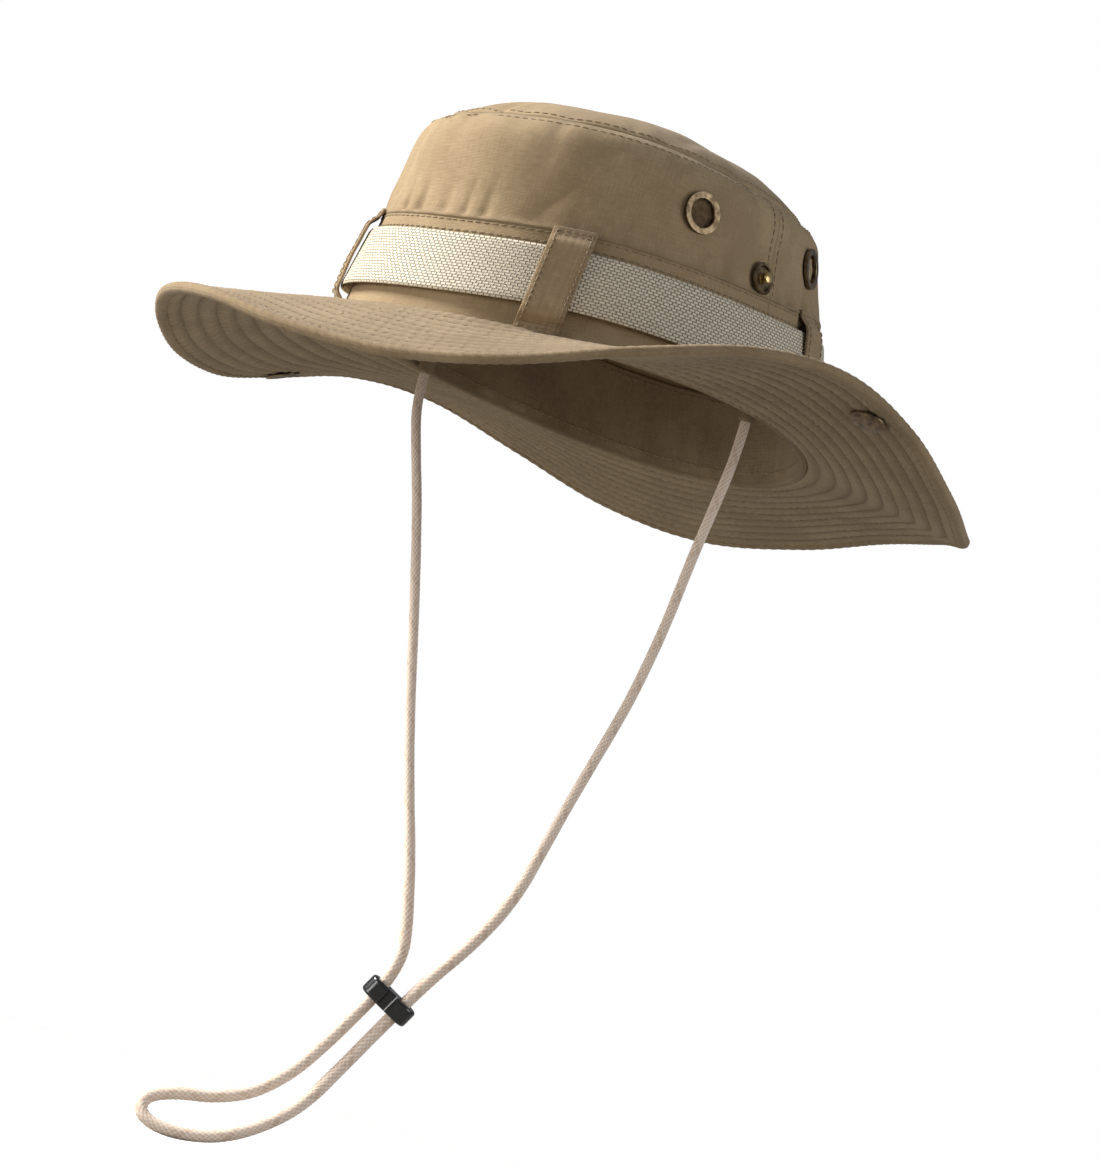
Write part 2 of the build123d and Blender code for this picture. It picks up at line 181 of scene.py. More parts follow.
# ---------------------------------------------------------------- Crown cloth
# The crown is cut from khaki cotton: a front and a back side panel, joined by a lapped seam at
# each temple, and an oval tip sewn in on top. Worn cotton is never flat: it dents beside the
# seams, where the thread draws it in, and creases between them.
HEAD_HALF_WIDTH = 78.2 * mm
HEAD_HALF_LENGTH = 101.0 * mm
TEMPLE_RISE = 5.0 * mm
CLOTH_THICK = 1.2 * mm
# Heights in mm and shares of the head opening, every 45 degrees from the front
BAND_SEAM_HEIGHT = (36.3, 41.4, 45.8, 54.0, 61.0, 58.5, 49.5, 40.0)
TIP_SEAM_HEIGHT = (77.4, 80.8, 81.3, 84.4, 91.3, 93.0, 86.3, 77.8)
BAND_SEAM_RING = (0.925, 0.903, 0.888, 0.889, 0.905, 0.927, 0.942, 0.941)
TIP_SEAM_RING = (0.825, 0.795, 0.736, 0.727, 0.745, 0.790, 0.835, 0.844)
SIDE_BULGE = 0.02
SHOULDER_SCALE = 12.2
SHOULDER_OUT = 2.9 * mm
SHOULDER_UP = 0.8 * mm
TIP_DOME = 11.9 * mm
DOME_POWER = 4.6
YARN = 0.55 * mm
# Distance from the hat's middle at which the dents along a seam are spaced, and their spacing
SIDE_RADIUS = 0.085
TIP_RADIUS = 0.075
LOW_DENTS = 13 * mm
HIGH_DENTS = 21 * mm
TIP_DENTS = 19 * mm
LOW_DENT_DEPTH = 3.0 * mm
HIGH_DENT_DEPTH = 2.6 * mm
TIP_DENT_DEPTH = 2.0 * mm


def around(values, angle):
    """Value at an angle, on a smooth curve through values spaced evenly round the hat."""
    count = len(values)
    place = (angle % 360) / (360 / count)
    first = int(place)
    part = place - first
    before, low, high, after = (values[(first + shift) % count] for shift in (-1, 0, 1, 2))
    rise = (high - before) / 2
    next_rise = (after - low) / 2
    bend = 3 * (high - low) - 2 * rise - next_rise
    twist = rise + next_rise - 2 * (high - low)
    return low + part * (rise + part * (bend + part * twist))


def outward(angle):
    turn = math.radians(angle)
    return Vector((math.sin(turn) / HEAD_HALF_WIDTH, -math.cos(turn) / HEAD_HALF_LENGTH, 0)).normalized()


def ring_point(angle, share, height):
    turn = math.radians(angle)
    return Vector((HEAD_HALF_WIDTH * share * math.sin(turn),
                   -HEAD_HALF_LENGTH * share * math.cos(turn), height))


def opening(angle):
    return ring_point(angle, 1, TEMPLE_RISE * math.sin(math.radians(angle)) ** 2)


def band_seam(angle):
    return ring_point(angle, around(BAND_SEAM_RING, angle), around(BAND_SEAM_HEIGHT, angle) * mm)


def tip_seam(angle):
    return ring_point(angle, around(TIP_SEAM_RING, angle), around(TIP_SEAM_HEIGHT, angle) * mm)


def node_middle(node):
    low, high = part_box(node)
    return (Vector(low) + Vector(high)) / 2


HARDWARE = [node_middle(node) for node in sorted(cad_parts)
            if node.startswith("vent_ring") or node in ("snap_stud_left", "snap_stud_right")]


def calm(point):
    """0 beside an eyelet or a snap, which hold the cloth flat, and 1 away from them."""
    share = 1.0
    for middle in HARDWARE:
        share *= min(1.0, max(0.0, ((point - middle).length - 8 * mm) / (9 * mm)))
    return share


def dents(along, spacing, seed):
    """How far a seam has drawn the cloth in, 0 to 1, along its length."""
    place = along / spacing + 0.9 * noise.noise(Vector((along / 0.03, seed, 0)))
    strength = 0.25 + 1.1 * abs(noise.noise(Vector((along / 0.045, seed + 7, 0))))
    return (0.5 - 0.5 * math.cos(2 * math.pi * place)) ** 2 * strength


def crumple(point):
    """Soft unevenness and a few creases of worn cloth, as a distance outwards."""
    broad = noise.noise(point / 0.055) * 2.6 * mm
    small = noise.noise(point / 0.022 + Vector((9, 4, 2))) * 0.8 * mm
    line = 1 - min(1, abs(noise.noise(Vector((point.x / 0.05, point.y / 0.05, point.z / 0.075 + 3)))) * 4)
    return broad + small - line ** 2 * 1.1 * mm


def side_point(angle, level):
    low = band_seam(angle)
    high = tip_seam(angle)
    point = low + (high - low) * level
    bulge = 1 + SIDE_BULGE * math.sin(math.pi * min(1, max(0, level)))
    inner = min(1, max(0, level))
    shoulder = SHOULDER_SCALE * inner ** 4 * (1 - inner)
    point = Vector((point.x * bulge, point.y * bulge, point.z + SHOULDER_UP * shoulder))
    point += outward(angle) * SHOULDER_OUT * shoulder
    tall = (high - low).length
    up = max(0, level * tall)
    down = max(0, (1 - level) * tall)
    along = math.radians(angle) * SIDE_RADIUS
    relief = calm(point) * crumple(point) * min(1, up / (9 * mm)) * min(1, down / (9 * mm))
    low_dents = LOW_DENT_DEPTH * dents(along, LOW_DENTS, 1)
    relief -= low_dents * math.exp(-up / (6 * mm)) * (1 - math.exp(-up / (1.2 * mm)))
    high_dents = HIGH_DENT_DEPTH * dents(along, HIGH_DENTS, 2)
    relief -= high_dents * math.exp(-down / (8 * mm)) * (1 - math.exp(-down / (1.5 * mm)))
    relief += 0.55 * mm * math.exp(-((up - 0.4 * mm) / (1.1 * mm)) ** 2)
    relief -= 0.7 * mm * math.exp(-(down / (1.6 * mm)) ** 2)
    return point + outward(angle) * relief


TIP_MIDDLE = sum((tip_seam(angle) for angle in range(0, 360, 15)), Vector()) / 24


def tip_point(angle, share):
    rim = tip_seam(angle)
    point = TIP_MIDDLE + (rim - TIP_MIDDLE) * share
    inside = (1 - share) * (rim - TIP_MIDDLE).length
    along = math.radians(angle) * TIP_RADIUS
    rise = TIP_DOME * (1 - share ** DOME_POWER)
    rise -= TIP_DENT_DEPTH * dents(along, TIP_DENTS, 3) * math.exp(-inside / (8 * mm)) * min(1, inside / (2 * mm))
    rise += crumple(point) * min(1, inside / (12 * mm))
    return point + Vector((0, 0, rise)) - outward(angle) * 0.7 * mm * math.exp(-(inside / (1.6 * mm)) ** 2)


VENT_MIDDLES = [node_middle(node) for node in sorted(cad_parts) if node.startswith("vent_ring")]
VENT_CUT = 5.7 * mm
# Share of its colour that cloth keeps where it is fully drawn in: painted shade, darkest where the seams and
# stitches sink it
PAINTED_SHADE_SHARE = 0.42


def lay_cloth(name, columns, rows, place, size, material, thick=0.0, flat_weave=False, vented=False,
              shadow=None):
    """A sheet of cloth: a grid whose points move to their places. Its UV map is the weave's lie in metres."""
    bm = bmesh.new()
    weave = bm.loops.layers.uv.new("UVMap")
    bmesh.ops.create_grid(bm, x_segments=columns, y_segments=rows, size=0.5, calc_uvs=True)
    # This layer holds painted shade: how much each point's colour is darkened, as given by shadow().
    worn = bm.verts.layers.float.new("painted_shade")
    for vert in bm.verts:
        across, up = vert.co.x + 0.5, vert.co.y + 0.5
        vert.co = place(across, up)
        vert[worn] = shadow(across, up) if shadow else 0.0
    for face in bm.faces:
        for loop in face.loops:
            u, v = loop[weave].uv
            loop[weave].uv = (loop.vert.co.x, loop.vert.co.y) if flat_weave else (u * size[0], v * size[1])
    bmesh.ops.remove_doubles(bm, verts=bm.verts, dist=0.002 * mm)
    if vented:
        cut = [vert for vert in bm.verts
               if min((vert.co - middle).length for middle in VENT_MIDDLES) < VENT_CUT]
        bmesh.ops.delete(bm, geom=cut, context="VERTS")
    piece = keep(bm, name, material)
    if thick:
        wall = piece.modifiers.new("thickness", "SOLIDIFY")
        wall.thickness = thick
        wall.offset = -1
    return piece


def grain(nodes, links, where, scale, detail=2):
    node = nodes.new("ShaderNodeTexNoise")
    node.inputs["Scale"].default_value = scale
    node.inputs["Detail"].default_value = detail
    links.new(where, node.inputs["Vector"])
    return node.outputs


def two_tones(nodes, links, source, dark, light, low=0.0, high=1.0):
    """A colour that goes from dark to light while the source rises from low to high."""
    ramp = nodes.new("ShaderNodeValToRGB")
    ends = ramp.color_ramp.elements
    ends[0].position, ends[1].position = low, high
    ends[0].color, ends[1].color = (*dark, 1), (*light, 1)
    links.new(source, ramp.inputs["Fac"])
    return ramp.outputs["Color"]


def reckon(nodes, links, operation, first, second):
    """The sum or product of an output with another output or a number."""
    node = nodes.new("ShaderNodeMath")
    node.operation = operation
    links.new(first, node.inputs[0])
    if isinstance(second, float):
        node.inputs[1].default_value = second
    else:
        links.new(second, node.inputs[1])
    return node.outputs["Value"]


def raised(nodes, links, shader, height, strength, distance, invert=False):
    bump = nodes.new("ShaderNodeBump")
    bump.invert = invert
    bump.inputs["Strength"].default_value = strength
    bump.inputs["Distance"].default_value = distance
    links.new(height, bump.inputs["Height"])
    links.new(bump.outputs["Normal"], shader.inputs["Normal"])


def cotton(name, colour, worn, weave=YARN, relief=0.5):
    """Plain-woven cotton: crossing yarns, slubs along both, slow changes of tone, and painted shade where the
    cloth is drawn in.
    """
    material, nodes, links, shader = new_material(name)
    coords = nodes.new("ShaderNodeTexCoord")
    yarns = []
    for direction in ("X", "Y"):
        band = nodes.new("ShaderNodeTexWave")
        band.bands_direction = direction
        band.inputs["Scale"].default_value = 0.314 / weave
        band.inputs["Distortion"].default_value = 0.5
        band.inputs["Detail"].default_value = 1
        band.inputs["Detail Scale"].default_value = 0.4
        links.new(coords.outputs["UV"], band.inputs["Vector"])
        yarns.append(band)
    slubs = []
    for stretch in ((1500, 170, 1), (170, 1500, 1)):
        lie = nodes.new("ShaderNodeMapping")
        lie.inputs["Scale"].default_value = stretch
        links.new(coords.outputs["UV"], lie.inputs["Vector"])
        slubs.append(grain(nodes, links, lie.outputs["Vector"], 1)["Fac"])
    tone = grain(nodes, links, coords.outputs["Object"], 38, 4)["Fac"]
    slub_sum = reckon(nodes, links, "ADD", slubs[0], slubs[1])
    tone_sum = nodes.new("ShaderNodeMath")
    tone_sum.operation = "MULTIPLY_ADD"
    tone_sum.inputs[1].default_value = 0.55
    links.new(slub_sum, tone_sum.inputs[0])
    links.new(tone, tone_sum.inputs[2])
    spread = reckon(nodes, links, "MULTIPLY", tone_sum.outputs["Value"], 0.82)
    shades = two_tones(nodes, links, spread, colour, worn, 0.75, 1.0)
    # Painted shade: where the piece's shade attribute rises to 1, the colour darkens to a set share of itself.
    drawn = nodes.new("ShaderNodeAttribute")
    drawn.attribute_name = "painted_shade"
    painted_shade_mix = nodes.new("ShaderNodeMix")
    painted_shade_mix.data_type = "RGBA"
    painted_shade_mix.inputs[7].default_value = (*(part * PAINTED_SHADE_SHARE for part in colour), 1)
    links.new(drawn.outputs["Fac"], painted_shade_mix.inputs[0])
    links.new(shades, painted_shade_mix.inputs[6])
    links.new(painted_shade_mix.outputs[2], shader.inputs["Base Color"])
    cross = reckon(nodes, links, "ADD", yarns[0].outputs["Fac"], yarns[1].outputs["Fac"])
    raised(nodes, links, shader, reckon(nodes, links, "ADD", cross, slub_sum), relief, 0.12 * mm)
    shader.inputs["Roughness"].default_value = 0.92
    shader.inputs["Specular IOR Level"].default_value = 0.18
    shader.inputs["Sheen Weight"].default_value = 0.12
    shader.inputs["Sheen Roughness"].default_value = 0.45
    return material


def beside_seams(angle, level):
    """How much a point of the side panel is drawn in beside the seams, given as painted shade."""
    tall = (tip_seam(angle) - band_seam(angle)).length
    along = math.radians(angle) * SIDE_RADIUS
    up, down = max(0, level) * tall, max(0, 1 - level) * tall
    return min(1, 0.55 * dents(along, LOW_DENTS, 1) * math.exp(-up / (5 * mm))
               + 0.35 * math.exp(-up / (0.9 * mm))
               + 0.4 * dents(along, HIGH_DENTS, 2) * math.exp(-down / (7 * mm))
               + 0.35 * math.exp(-down / (0.8 * mm)))


khaki = cotton("crown_khaki", (0.320, 0.232, 0.132), (0.405, 0.300, 0.178))
for name, start in (("crown_front", -90), ("crown_back", 90)):
    def panel(across, level, start=start):
        return side_point(start + 180 * across, level * 1.012 - 0.012)
    piece = lay_cloth(name, 300, 46, panel, (0.25, 0.045), khaki, CLOTH_THICK, vented=True,
                      shadow=lambda across, level, start=start: beside_seams(start + 180 * across, level))
    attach(piece, "hat")
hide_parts("crown_side_front")
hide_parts("crown_side_back")


def tip_cloth(across, level):
    return tip_point(360 * across, 1 - level)


crown_tip = lay_cloth("crown_tip", 300, 44, tip_cloth, (1, 1), khaki, CLOTH_THICK, flat_weave=True)
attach(crown_tip, "hat")
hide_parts("crown_top")

# ---------------------------------------------------------------- Lower band
# Below the side panels a strip of the same cotton runs down to the brim. Its top edge is turned
# in and lapped, which makes a welt 6 mm wide with a row of stitches along each edge.
WELT = 6.0 * mm
WELT_THICK = 0.5 * mm


def band_tall(angle):
    return (band_seam(angle) - opening(angle)).length


def band_point(angle, drop, out=0.0):
    """Point of the lower band this far down from the band seam."""
    seam = band_seam(angle)
    return seam + (opening(angle) - seam) * (drop / band_tall(angle)) + outward(angle) * out


def band_relief(angle, drop):
    point = band_point(angle, drop)
    welt = WELT_THICK / (1 + math.exp((drop - WELT) / (0.35 * mm)))
    soft = noise.noise(point / 0.035) * 0.7 * mm + noise.noise(point / 0.013) * 0.25 * mm
    foot = band_tall(angle) - drop
    return welt + soft * min(1, max(0, foot) / (8 * mm)) * min(1, max(0, drop) / (8 * mm))


for name, start in (("lower_band_front", -90), ("lower_band_back", 90)):
    def strip(across, level, start=start):
        angle = start + 180 * across
        drop = (1 - level) * (band_tall(angle) + 2.0 * mm) - 0.8 * mm
        return band_point(angle, drop, band_relief(angle, drop) - 0.35 * mm)
    piece = lay_cloth("cloth_" + name, 260, 44, strip, (0.27, 0.045), khaki, CLOTH_THICK)
    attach(piece, "hat")
    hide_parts(name)

# ---------------------------------------------------------------- Stitches
# Every seam is topstitched with tan cotton thread, about three millimetres to a stitch. Each
# stitch is its own small bead of thread, sunk at both ends.
STITCH_PITCH = 3.1 * mm
STITCH_LONG = 2.4 * mm
STITCH_WIDE = 0.62 * mm
STITCH_HIGH = 0.5 * mm

thread, nodes, links, shader = new_material("tan_thread")
coords = nodes.new("ShaderNodeTexCoord")
ply = grain(nodes, links, coords.outputs["Object"], 900)["Fac"]
shades = two_tones(nodes, links, ply, (0.215, 0.152, 0.086), (0.350, 0.262, 0.160), 0.3, 0.7)
links.new(shades, shader.inputs["Base Color"])
shader.inputs["Roughness"].default_value = 0.7


def even_places(place, start, end, pitch):
    """Values from start to end at which place() has moved on by one pitch."""
    count = 720
    last = place(start)
    gone = 0.0
    wanted = pitch / 2
    found = []
    for index in range(1, count + 1):
        value = start + (end - start) * index / count
        point = place(value)
        step = (point - last).length
        while step > 0 and gone + step >= wanted:
            back = (gone + step - wanted) / step
            found.append(value - (end - start) / count * back)
            wanted += pitch
        gone += step
        last = point
    return found


def sew(name, rows, material, pitch=STITCH_PITCH, long=STITCH_LONG, wide=STITCH_WIDE, high=STITCH_HIGH):
    """Rows of stitches. A row is its line, the way out of the cloth, and where it starts and ends."""
    done = bmesh.new()
    for place, facing_out, start, end in rows:
        row = bmesh.new()
        small = (end - start) / 2000
        for value in even_places(place, start, end, pitch):
            run = (place(value + small) - place(value - small)).normalized()
            out = facing_out(value)
            out = (out - run * out.dot(run)).normalized()
            side = out.cross(run)
            frame_at = Matrix((side * wide / 2, out * high / 2, run * long / 2)).transposed().to_4x4()
            frame_at.translation = place(value)
            bmesh.ops.create_uvsphere(row, u_segments=6, v_segments=4, radius=1, matrix=frame_at)
        mesh = bpy.data.meshes.new("row")
        row.to_mesh(mesh)
        row.free()
        done.from_mesh(mesh)
        bpy.data.meshes.remove(mesh)
    return keep(done, name, material)


def below_seam(drop):
    def place(angle):
        return band_point(angle, drop, band_relief(angle, drop) - 0.35 * mm + 0.12 * mm)
    return (place, outward, 0, 360)


def under_tip(drop):
    def place(angle):
        tall = (tip_seam(angle) - band_seam(angle)).length
        return side_point(angle, 1 - drop / tall) + outward(angle) * 0.1 * mm
    return (place, outward, 0, 360)


def temple_seam(angle):
    def place(level):
        return side_point(angle, level) + outward(angle) * 0.12 * mm
    return (place, lambda level: outward(angle), 0.02, 0.98)


def on_tip(inset):
    def place(angle):
        length = (tip_seam(angle) - TIP_MIDDLE).length
        return tip_point(angle, 1 - inset / length) + Vector((0, 0, 0.1 * mm))
    return (place, lambda angle: Vector((0, 0, 1)), 0, 360)


crown_stitches = sew("crown_stitches", [
    below_seam(1.4 * mm), below_seam(5.2 * mm), under_tip(2.6 * mm), on_tip(2.6 * mm),
    temple_seam(88.3), temple_seam(91.7), temple_seam(268.3), temple_seam(271.7),
], thread)
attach(crown_stitches, "hat")

# ---------------------------------------------------------------- Hat band
# Cream webbing, 22.5 mm wide, woven from thick flat yarns, goes round the lower band and is held
# only by the belt loops, so its lower edge stands away from the cotton.
WEBBING_DROP = 6.6 * mm
WEBBING_WIDE = 22.5 * mm
WEBBING_THICK = 1.4 * mm
WEBBING_OUT_TOP = 0.9 * mm
WEBBING_OUT_LOW = 2.2 * mm
PICK = 2.3 * mm
WARP_END = 1.0 * mm

webbing_weave, nodes, links, shader = new_material("cream_webbing")
coords = nodes.new("ShaderNodeTexCoord")
lie = nodes.new("ShaderNodeMapping")
lie.inputs["Scale"].default_value = (1 / PICK, 1 / WARP_END, 1)
links.new(coords.outputs["UV"], lie.inputs["Vector"])
wander = grain(nodes, links, coords.outputs["UV"], 260)["Color"]
shift = nodes.new("ShaderNodeVectorMath")
shift.operation = "MULTIPLY_ADD"
shift.inputs[1].default_value = (0.45, 0.35, 0)
links.new(wander, shift.inputs[0])
links.new(lie.outputs["Vector"], shift.inputs[2])
yarn_grid = nodes.new("ShaderNodeTexBrick")
yarn_grid.offset = 0.5
yarn_grid.inputs["Scale"].default_value = 1
yarn_grid.inputs["Brick Width"].default_value = 1
yarn_grid.inputs["Row Height"].default_value = 1
yarn_grid.inputs["Mortar Size"].default_value = 0.17
yarn_grid.inputs["Mortar Smooth"].default_value = 1
yarn_grid.inputs["Color1"].default_value = (0.80, 0.72, 0.565, 1)
yarn_grid.inputs["Color2"].default_value = (0.70, 0.62, 0.475, 1)
yarn_grid.inputs["Mortar"].default_value = (0.27, 0.21, 0.135, 1)
links.new(shift.outputs["Vector"], yarn_grid.inputs["Vector"])
links.new(yarn_grid.outputs["Color"], shader.inputs["Base Color"])
raised(nodes, links, shader, yarn_grid.outputs["Fac"], 0.9, 0.45 * mm, invert=True)
shader.inputs["Roughness"].default_value = 0.6
shader.inputs["Sheen Weight"].default_value = 0.1


def webbing_point(angle, share, out=0.0):
    """Point of the webbing's inner face, from its top edge (share 0) to its lower edge."""
    drop = WEBBING_DROP + WEBBING_WIDE * share
    away = WEBBING_OUT_TOP + (WEBBING_OUT_LOW - WEBBING_OUT_TOP) * share
    wave = noise.noise(band_seam(angle) / 0.045) * 0.5 * mm
    return band_point(angle, drop, away + wave * share + out)


def webbing_section(across, turn):
    """Round the webbing's flat section, with slightly rounded edges."""
    angle = 360 * across
    corner = (0.02, 0.48, 0.52, 0.98)
    if turn < corner[0]:
        return webbing_point(angle, 0.004, WEBBING_THICK * 0.5)
    if turn <= corner[1]:
        share = (turn - corner[0]) / (corner[1] - corner[0])
        edge = min(share, 1 - share)
        return webbing_point(angle, share, WEBBING_THICK * (1 - 0.25 * math.exp(-edge / 0.02)))
    if turn < corner[2]:
        return webbing_point(angle, 1.004, WEBBING_THICK * 0.5)
    if turn <= corner[3]:
        share = 1 - (turn - corner[2]) / (corner[3] - corner[2])
        return webbing_point(angle, share, 0)
    return webbing_point(angle, 0.004, WEBBING_THICK * 0.5)


hat_band = lay_cloth("webbing_band", 360, 50, webbing_section, (0.575, 2 * WEBBING_WIDE), webbing_weave)
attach(hat_band, "hat")
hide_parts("hat_band")

# ---------------------------------------------------------------- Belt loops
# Five strips of the crown's cotton, 16 mm wide, bridge the webbing. Each is folded to half its
# width, stitched along both edges and sewn down with a bar of close stitches at each end.
LOOP_WIDE = 15.5 * mm
LOOP_THICK = 1.3 * mm
LOOP_REACH = 42.0 * mm
LOOP_ANGLES = {"front_left": 33.0, "side_left": 109.0, "back": 181.0, "side_right": 251.0,
               "front_right": 320.0}
loop_khaki = cotton("loop_khaki", (0.300, 0.215, 0.125), (0.375, 0.275, 0.165))


def loop_frame(angle):
    """The direction across a loop, and how far down it reaches."""
    across = (band_seam(angle + 1) - band_seam(angle - 1)).normalized()
    reach = min(LOOP_REACH, band_tall(angle) + 0.6 * mm)
    return across, reach


def loop_point(angle, share, side, out):
    """Point of a loop: share runs down it, side across it from -1 to 1, out away from the crown."""
    across, reach = loop_frame(angle)
    drop = -1.2 * mm + reach * share
    ends = min(share, 1 - share) * reach
    lift = 1 / (1 + math.exp(-(ends - 4.2 * mm) / (0.8 * mm)))
    clear = WEBBING_OUT_TOP + (WEBBING_OUT_LOW - WEBBING_OUT_TOP) * share + WEBBING_THICK + 0.35 * mm
    wave = noise.noise(Vector((angle, share * 3, side * 0.4))) * 0.5 * mm * lift
    edge = 0.3 * mm * side ** 8
    lean = -0.06 * (share - 0.5) * reach
    point = band_point(angle, drop, 0.45 * mm + clear * lift + wave - edge + out)
    return point + across * (side * LOOP_WIDE / 2 + lean)


def close_holes(piece):
    bm = bmesh.new()
    bm.from_mesh(piece.data)
    bmesh.ops.holes_fill(bm, edges=[edge for edge in bm.edges if edge.is_boundary])
    bmesh.ops.recalc_face_normals(bm, faces=bm.faces)
    bm.to_mesh(piece.data)
    bm.free()


loop_rows = []
for place_name, angle in LOOP_ANGLES.items():
    def loop_cloth(down, turn, angle=angle):
        round_section = math.radians(360 * turn)
        side = math.copysign(abs(math.cos(round_section)) ** 0.35, math.cos(round_section))
        rise = math.copysign(abs(math.sin(round_section)) ** 0.35, math.sin(round_section))
        return loop_point(angle, down, side, LOOP_THICK / 2 * (1 + rise))
    piece = lay_cloth("strip_" + place_name, 60, 40, loop_cloth, (0.043, 0.034), loop_khaki)
    close_holes(piece)
    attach(piece, "hat")
    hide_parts("loop_" + place_name)
    for side in (-0.8, 0.8):
        def edge_row(share, angle=angle, side=side):
            return loop_point(angle, share, side, LOOP_THICK + 0.1 * mm)
        loop_rows.append((edge_row, lambda share, angle=angle: outward(angle), 0.02, 0.98))
    for share in (0.035, 0.075, 0.925, 0.965):
        def end_row(side, angle=angle, share=share):
            return loop_point(angle, share, side, LOOP_THICK + 0.1 * mm)
        loop_rows.append((end_row, lambda side, angle=angle: outward(angle), -0.85, 0.85))
loop_stitches = sew("loop_stitches", loop_rows, thread, pitch=2.6 * mm, long=2.0 * mm)
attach(loop_stitches, "hat")

# ---------------------------------------------------------------- Brim
# Two layers of khaki with a stiffener between, stitched together in nine rows round the hat.
# The cloth puffs between the rows and puckers along them. Each side folds up along a line at
# the temple; the brim is made as a left and a right half.
BRIM_WIDE = 62.0 * mm
BRIM_HALF = 1.35 * mm
BRIM_SLOPE = (
    -22.6, -25.4, -19.6, -7.3, 4.0, 6.9, 0.7, -8.6, -12.4, -8.5, -2.2, -1.2,
    -6.7, -11.8, -9.4, -0.8, 5.0, 0.9, -10.9, -20.9, -22.1, -17.0, -13.3, -16.1,
)
ROW_FIRST = 5.0 * mm
ROW_SPACING = 6.3 * mm
ROW_COUNT = 9
ROW_PINCH = 0.6 * mm
PUCKER = 4.6 * mm
SWELL = 0.8 * mm
# Share of the way round the section at which the brim's edge is reached
BRIM_EDGE = 0.495
brim_khaki = cotton("brim_khaki", (0.305, 0.226, 0.137), (0.385, 0.290, 0.180))


def brim_point(angle, out, up=0.0):
    slope = math.radians(around(BRIM_SLOPE, angle))
    direction = outward(angle)
    point = opening(angle) + direction * (out * math.cos(slope) - up * math.sin(slope))
    return point + Vector((0, 0, out * math.sin(slope) + up * math.cos(slope)))


def brim_up(angle):
    slope = math.radians(around(BRIM_SLOPE, angle))
    return Vector((0, 0, math.cos(slope))) - outward(angle) * math.sin(slope)


def brim_half_thick(angle, out, face):
    """Half the brim's thickness, less along the rows of stitches and puckered between them."""
    row = (out - ROW_FIRST) / ROW_SPACING
    near = min(max(round(row), 0), ROW_COUNT - 1)
    from_row = abs(row - near) * ROW_SPACING
    along = math.radians(angle) * (0.09 + out)
    puff = 1 - math.exp(-(from_row / (1.3 * mm)) ** 2)
    shift = 2.5 * noise.noise(Vector((along / 0.02, near, face)))
    pucker = math.sin(2 * math.pi * along / PUCKER + near * 2.1 + shift)
    strength = 0.5 + 0.5 * noise.noise(Vector((along / 0.05, out / 0.02, face * 3)))
    depth = 0.42 * mm if face < 0 else 0.2 * mm
    return BRIM_HALF - ROW_PINCH * (1 - puff) + depth * pucker * strength * puff


def brim_drawn_in(angle, out, face):
    """1 along a row of stitches and in the puckers between the rows, 0 on the puffed cloth."""
    sunk = BRIM_HALF - brim_half_thick(angle, out, face)
    return min(1, max(0, 0.06 + 0.9 * sunk / ROW_PINCH))


def brim_surface(angle, out, face):
    swell = noise.noise(brim_point(angle, out) / 0.05) * SWELL * min(1, out / (15 * mm))
    return brim_point(angle, out, face * brim_half_thick(angle, out, face) + swell)


def brim_section(angle, turn):
    """Round the brim's section: out along the top, back along the underside."""
    if turn <= 0.0 or turn >= 1.0:
        return brim_point(angle, -0.2 * mm)
    if turn <= 0.5:
        return brim_surface(angle, BRIM_WIDE * min(1, turn / BRIM_EDGE), 1)
    return brim_surface(angle, BRIM_WIDE * min(1, (1 - turn) / BRIM_EDGE), -1)


def fold_side(piece):
    """Bakes the piece's placement into its mesh."""
    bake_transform(piece)


def close_ends(piece):
    close_holes(piece)
    piece.data.set_sharp_from_angle(angle=math.radians(60))


SIDES = (("left", 1, 0), ("right", -1, 180))
for side_name, side, start in SIDES:
    def brim_cloth(across, turn, start=start):
        return brim_section(start + 180 * across, turn)

    def brim_shadow(across, turn, start=start):
        out = BRIM_WIDE * min(1, min(turn, 1 - turn) / BRIM_EDGE)
        face = 1 if turn <= 0.5 else -1
        return brim_drawn_in(start + 180 * across, out, face) * (0.35 if face > 0 else 0.42)

    piece = lay_cloth("brim_" + side_name, 440, 132, brim_cloth, (0.40, 2 * BRIM_WIDE), brim_khaki,
                      shadow=brim_shadow)
    close_ends(piece)
    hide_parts(*(side_name + "_flap_" + layer for layer in ("upper", "stiffener", "under")))
    if side > 0:
        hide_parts("brim_upper", "brim_stiffener", "brim_under")
    fold_side(piece)
    for face_name, face in (("top", 1), ("under", -1)):
        rows = []
        for index in range(ROW_COUNT):
            out = ROW_FIRST + ROW_SPACING * index

            def row_line(angle, out=out, face=face):
                return brim_surface(angle, out, face) + brim_up(angle) * (0.1 * mm * face)
            rows.append((row_line, lambda angle, face=face: brim_up(angle) * face, start, start + 180))
        row_piece = sew("brim_rows_" + face_name + "_" + side_name, rows, thread)
        fold_side(row_piece)

